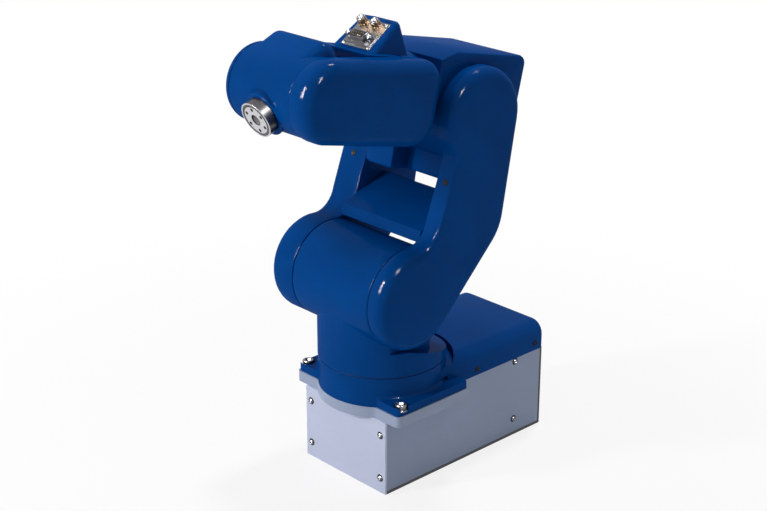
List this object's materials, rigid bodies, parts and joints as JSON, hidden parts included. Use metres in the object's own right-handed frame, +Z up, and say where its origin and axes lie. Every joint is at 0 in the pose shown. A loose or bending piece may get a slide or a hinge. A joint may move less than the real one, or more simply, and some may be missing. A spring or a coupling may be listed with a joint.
{
  "type": "industrial robot arm",
  "caption": "Small tabletop industrial robot arm with a turning shoulder, forked lower arm, rolling forearm, wrist and tool flange, on a box plinth.",
  "frame": {"origin": "on the swivel axis, at the floor under the plinth", "axes": "+Z up along the swivel axis, +X the way the arm reaches, +Y to the arm's left"},
  "size_m": [0.3107, 0.1466, 0.4136],
  "materials": {
    "blue_paint": "glossy",
    "satin_aluminium": "satin",
    "dark_sheet": "satin",
    "black_rubber": "matte",
    "black_plastic": "matte",
    "steel": "turned",
    "connector_steel": "plated",
    "brass": "satin"
  },
  "bodies": {
    "base": {"bottom_plate": "dark_sheet", "front_panel": "satin_aluminium", "left_side_panel": "satin_aluminium", "right_side_panel": "satin_aluminium", "rear_panel": "dark_sheet", "inner_frame": "satin_aluminium", "mounting_plate": "satin_aluminium", "base_casting": "blue_paint", "rear_hood": "blue_paint", "turret_seal": "black_rubber", "power_receptacle": "black_plastic", "air_inlets": "steel"},
    "turret": {"turret_casting": "blue_paint"},
    "lower_arm": {"left_limb": "blue_paint", "right_limb": "blue_paint", "cross_web": "blue_paint"},
    "upper_arm": {"elbow_housing": "blue_paint", "motor_box": "blue_paint", "elbow_cover": "blue_paint"},
    "forearm": {"forearm_ring": "blue_paint", "forearm_casting": "blue_paint", "side_arm": "blue_paint", "connector_housing": "blue_paint", "connector_plate": "steel", "data_connector": "connector_steel", "air_fittings": "brass"},
    "wrist": {"wrist_barrel": "blue_paint", "wrist_housing": "blue_paint", "wrist_cap": "blue_paint"},
    "tool": {"tool_flange": "steel"}
  },
  "joints": [
    {"name": "swivel", "type": "hinge", "parent": "base", "child": "turret", "pos_m": [0, 0, 0], "axis": [0, 0, 1], "range_deg": [-170, 170]},
    {"name": "shoulder", "type": "hinge", "parent": "turret", "child": "lower_arm", "pos_m": [0.018, 0, 0.18], "axis": [0, 1, 0], "range_deg": [-56.8, 118.2]},
    {"name": "elbow", "type": "hinge", "parent": "lower_arm", "child": "upper_arm", "pos_m": [-0.05997, 0, 0.32542], "axis": [0, -1, 0], "range_deg": [-34.1, 105.9]},
    {"name": "forearm_roll", "type": "hinge", "parent": "upper_arm", "child": "forearm", "pos_m": [-0.06136, 0, 0.33177], "axis": [0.977, 0, 0.213], "range_deg": [-140, 140]},
    {"name": "wrist_bend", "type": "hinge", "parent": "forearm", "child": "wrist", "pos_m": [0.09771, 0, 0.36645], "axis": [0, -1, 0], "range_deg": [-174.2, 65.8]},
    {"name": "tool_turn", "type": "hinge", "parent": "wrist", "child": "tool", "pos_m": [0.09771, 0, 0.36645], "axis": [0.9171, 0, -0.3987], "range_deg": [-360, 360]}
  ]
}
